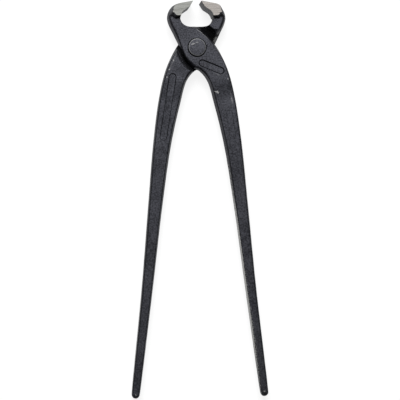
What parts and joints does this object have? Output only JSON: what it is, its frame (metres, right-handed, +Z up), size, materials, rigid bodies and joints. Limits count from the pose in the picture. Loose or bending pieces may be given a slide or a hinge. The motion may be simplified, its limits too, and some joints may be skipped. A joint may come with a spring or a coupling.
{
  "type": "concreters nippers",
  "caption": "Long-handled end-cutting nippers for twisting and cutting tie wire: crossed forged levers on a rivet, hooked jaws with ground cutting edges and slim tapering handles.",
  "frame": {"origin": "on the bench under the middle of the tool, which lies flat on its jaws", "axes": "+Y along the tool towards the jaws, +Z up along the rivet's axis, +X to the right seen from above"},
  "size_m": [0.0966, 0.2786, 0.023],
  "materials": {
    "blackened_steel": "black phosphated forging, fine grained and satin, with bare ground steel on the jaw faces",
    "rivet_steel": "black phosphated, smooth upset head"
  },
  "bodies": {
    "front_half": {"front_lever": "blackened_steel", "pivot_rivet": "rivet_steel"},
    "rear_half": {"rear_lever": "blackened_steel"}
  },
  "joints": [
    {"name": "pivot", "type": "hinge", "parent": "front_half", "child": "rear_half", "pos_m": [0, 0.10718, 0.0115], "axis": [0, 0, -1], "range_deg": [-10, 16]}
  ]
}
